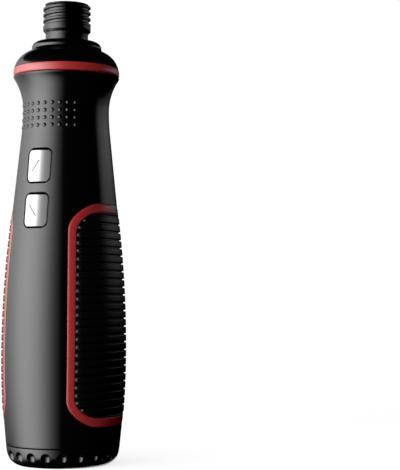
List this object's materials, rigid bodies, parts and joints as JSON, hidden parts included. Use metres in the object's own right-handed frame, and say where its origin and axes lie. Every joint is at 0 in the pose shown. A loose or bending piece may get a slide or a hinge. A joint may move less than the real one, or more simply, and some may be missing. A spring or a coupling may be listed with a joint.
{
  "type": "cordless screwdriver",
  "caption": "Inline cordless screwdriver with a waisted body, ribbed side grips, push buttons, a threaded nose round a hex bit socket, and a geared motor inside",
  "frame": {"origin": "middle of the flat base that the tool stands on", "axes": "+Z along the spindle towards the bit, -Y towards the side with the buttons, grips at +X and -X"},
  "size_m": [0.0418, 0.041, 0.154],
  "materials": {
    "body_black": "satin black moulded plastic",
    "trim_red": "satin red moulded trim",
    "grip_rubber": "soft black ribbed rubber",
    "button_chrome": "satin chrome plating",
    "nose_black": "black oxide steel",
    "steel": "plain machined steel",
    "bronze": "sintered bronze",
    "copper": "bare copper",
    "nickel": "nickel plated brass",
    "carbon": "carbon brush",
    "ferrite": "dark ferrite",
    "nylon_grey": "grey glass-filled nylon",
    "nylon_white": "natural nylon",
    "cell_wrap": "shrink-wrapped cell",
    "board_green": "coated circuit board",
    "switch_black": "switch moulding"
  },
  "bodies": {
    "housing": {"front_shell": "body_black", "rear_shell": "body_black", "nose_cap": "body_black", "head_ring": "trim_red", "grip_trim_left": "trim_red", "grip_trim_right": "trim_red", "grip_pad_left": "grip_rubber", "grip_pad_right": "grip_rubber", "forward_switch": "switch_black", "reverse_switch": "switch_black", "control_board": "board_green", "nose_bushing": "nose_black", "nose_bush": "bronze", "case_bush": "bronze", "nose_screws": "steel", "case_screws": "steel", "motor_screws": "steel", "thrust_washer": "steel", "gear_case": "nylon_grey", "motor_plate": "steel", "motor_can": "steel", "motor_end_bell": "nylon_white", "motor_magnets": "ferrite", "motor_brushes": "carbon", "motor_terminals": "nickel", "battery_cell": "cell_wrap", "battery_tube": "nylon_grey", "positive_contact": "nickel"},
    "spindle": {"spindle": "steel", "bit_magnet": "nickel", "spindle_clip": "steel", "output_carrier": "steel", "second_planet_pins": "steel"},
    "rotor": {"motor_shaft": "steel", "motor_armature": "steel", "motor_windings": "copper", "motor_commutator": "copper", "sun_gear": "steel"},
    "first_carrier": {"first_carrier": "steel", "first_planet_pins": "steel"},
    "forward_button": {"forward_button": "button_chrome", "forward_plunger": "nylon_white"},
    "reverse_button": {"reverse_button": "button_chrome", "reverse_plunger": "nylon_white"},
    "end_cap": {"end_cap": "body_black", "cap_seal": "grip_rubber", "cell_spring": "steel"},
    "first_planet_1": {"first_planet_1": "nylon_white"},
    "first_planet_2": {"first_planet_2": "nylon_white"},
    "first_planet_3": {"first_planet_3": "nylon_white"},
    "second_planet_1": {"second_planet_1": "nylon_white"},
    "second_planet_2": {"second_planet_2": "nylon_white"},
    "second_planet_3": {"second_planet_3": "nylon_white"}
  },
  "joints": [
    {"name": "spindle_turn", "type": "hinge", "parent": "housing", "child": "spindle", "pos_m": [0, 0, 0.14], "axis": [0, 0, 1], "continuous": true},
    {"name": "rotor_turn", "type": "hinge", "parent": "housing", "child": "rotor", "pos_m": [0, 0, 0.1], "axis": [0, 0, 1], "continuous": true},
    {"name": "first_carrier_turn", "type": "hinge", "parent": "housing", "child": "first_carrier", "pos_m": [0, 0, 0.1232], "axis": [0, 0, 1], "continuous": true},
    {"name": "first_planet_1_turn", "type": "hinge", "parent": "first_carrier", "child": "first_planet_1", "pos_m": [0.00607, 0, 0.1197], "axis": [0, 0, 1], "continuous": true},
    {"name": "first_planet_2_turn", "type": "hinge", "parent": "first_carrier", "child": "first_planet_2", "pos_m": [-0.00304, 0.00526, 0.1197], "axis": [0, 0, 1], "continuous": true},
    {"name": "first_planet_3_turn", "type": "hinge", "parent": "first_carrier", "child": "first_planet_3", "pos_m": [-0.00304, -0.00526, 0.1197], "axis": [0, 0, 1], "continuous": true},
    {"name": "second_planet_1_turn", "type": "hinge", "parent": "spindle", "child": "second_planet_1", "pos_m": [0.00607, 0, 0.1268], "axis": [0, 0, 1], "continuous": true},
    {"name": "second_planet_2_turn", "type": "hinge", "parent": "spindle", "child": "second_planet_2", "pos_m": [-0.00304, 0.00526, 0.1268], "axis": [0, 0, 1], "continuous": true},
    {"name": "second_planet_3_turn", "type": "hinge", "parent": "spindle", "child": "second_planet_3", "pos_m": [-0.00304, -0.00526, 0.1268], "axis": [0, 0, 1], "continuous": true},
    {"name": "forward_press", "type": "slide", "parent": "housing", "child": "forward_button", "axis": [0, 1, 0], "range_m": [0, 0.0005], "stiffness_N_per_m": 600, "springref_m": -0.001},
    {"name": "reverse_press", "type": "slide", "parent": "housing", "child": "reverse_button", "axis": [0, 1, 0], "range_m": [0, 0.0005], "stiffness_N_per_m": 600, "springref_m": -0.001},
    {"name": "cap_turn", "type": "hinge", "parent": "housing", "child": "end_cap", "pos_m": [0, 0, 0.004], "axis": [0, 0, 1], "range_deg": [0, 45]}
  ],
  "couplings": [
    {"joint": "rotor_turn", "follows": "spindle_turn", "ratio": 20.25},
    {"joint": "first_carrier_turn", "follows": "spindle_turn", "ratio": 4.5},
    {"joint": "first_planet_1_turn", "follows": "spindle_turn", "ratio": -12.6},
    {"joint": "first_planet_2_turn", "follows": "spindle_turn", "ratio": -12.6},
    {"joint": "first_planet_3_turn", "follows": "spindle_turn", "ratio": -12.6},
    {"joint": "second_planet_1_turn", "follows": "spindle_turn", "ratio": -2.8},
    {"joint": "second_planet_2_turn", "follows": "spindle_turn", "ratio": -2.8},
    {"joint": "second_planet_3_turn", "follows": "spindle_turn", "ratio": -2.8}
  ]
}
